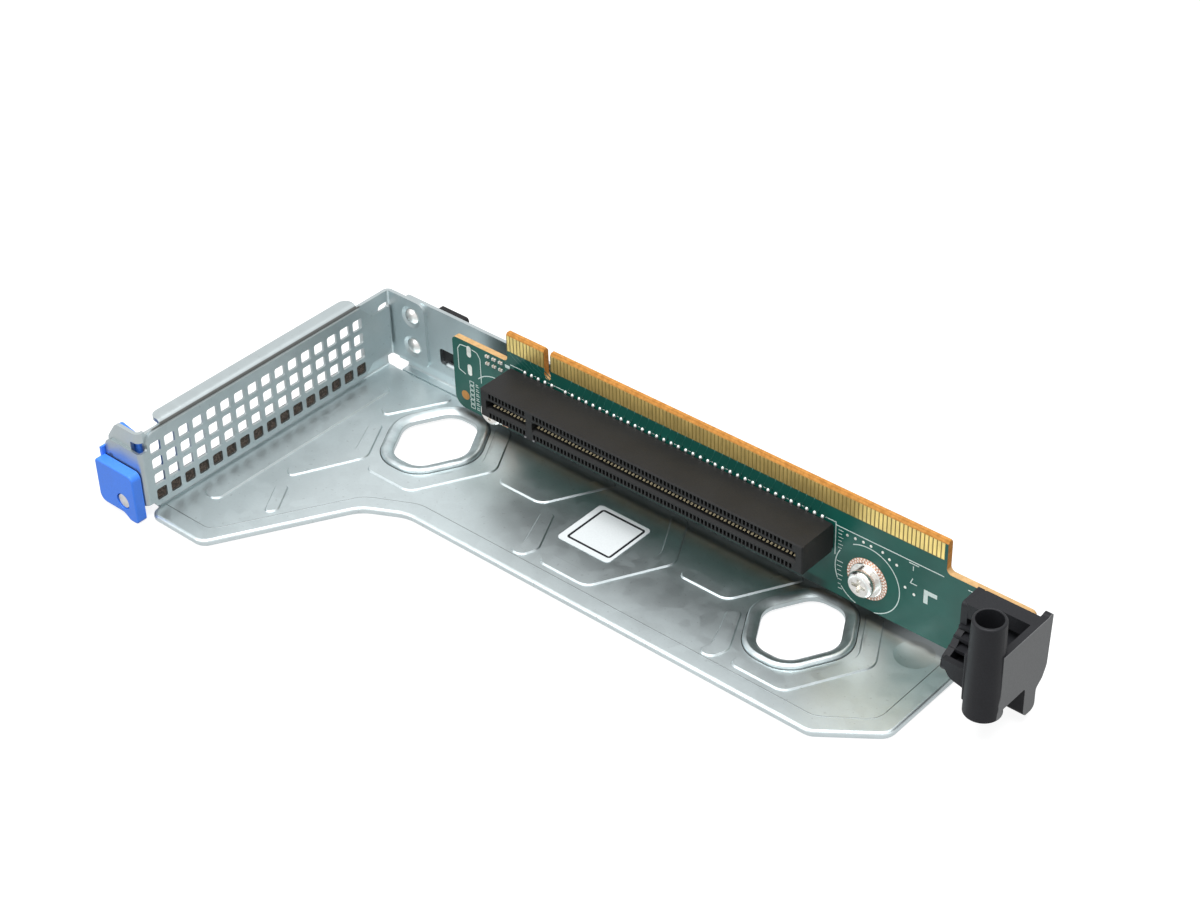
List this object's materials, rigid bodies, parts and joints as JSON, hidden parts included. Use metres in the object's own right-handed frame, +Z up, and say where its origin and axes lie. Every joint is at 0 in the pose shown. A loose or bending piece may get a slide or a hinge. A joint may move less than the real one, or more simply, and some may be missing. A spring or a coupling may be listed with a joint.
{
  "type": "pcie riser card",
  "caption": "Folded sheet carrier with a card slot on an upright circuit board, an edge tongue, a perforated slot filler with a blue latch, and a black guide post.",
  "frame": {"origin": "centre of the card slot's key, in the plane of the board's front face", "axes": "+X along the card slot away from the slot filler, +Y from the board's front face to the back wall, so a card is pushed in along +Y, +Z up, away from the floor plate, the way the edge tongue points"},
  "size_m": [0.1972, 0.0829, 0.0314],
  "materials": {
    "galvanised": "galvanised sheet, satin",
    "galvanised_filler": "galvanised sheet, satin",
    "rivet_steel": "bright zinc",
    "gasket": "dark foam strip",
    "blue_plastic": "moulded",
    "board_green": "solder-masked glass laminate",
    "gold": "gold plate",
    "black_plastic": "moulded",
    "contact_metal": "plated spring metal",
    "screw_steel": "bright zinc",
    "standoff_steel": "zinc",
    "tinned_pad": "tinned",
    "holder_plastic": "moulded",
    "label_paper": "plain label stock",
    "chip_ceramic": "ceramic",
    "copper_spot": "bare copper",
    "clip_plastic": "moulded"
  },
  "bodies": {
    "carrier": {"carrier_tray": "galvanised", "corner_rivets": "rivet_steel", "slot_filler": "galvanised_filler", "filler_gasket": "gasket", "latch_pin": "rivet_steel", "riser_board": "board_green", "edge_fingers_front": "gold", "edge_fingers_back": "gold", "slot_housing": "black_plastic", "contacts_upper_outer": "contact_metal", "contacts_upper_inner": "contact_metal", "contacts_lower_outer": "contact_metal", "contacts_lower_inner": "contact_metal", "board_screws": "screw_steel", "board_standoffs": "standoff_steel", "screw_pads": "tinned_pad", "guide_holder": "holder_plastic", "face_label": "label_paper", "slotted_pads": "tinned_pad", "chip_capacitors": "chip_ceramic", "test_pads": "copper_spot", "wall_clip": "clip_plastic"},
    "latch": {"release_latch": "blue_plastic"}
  },
  "joints": [
    {"name": "latch_pivot", "type": "hinge", "parent": "carrier", "child": "latch", "pos_m": [-0.0638, -0.071, -0.0142], "axis": [0, -1, 0], "range_deg": [0, 80]}
  ]
}
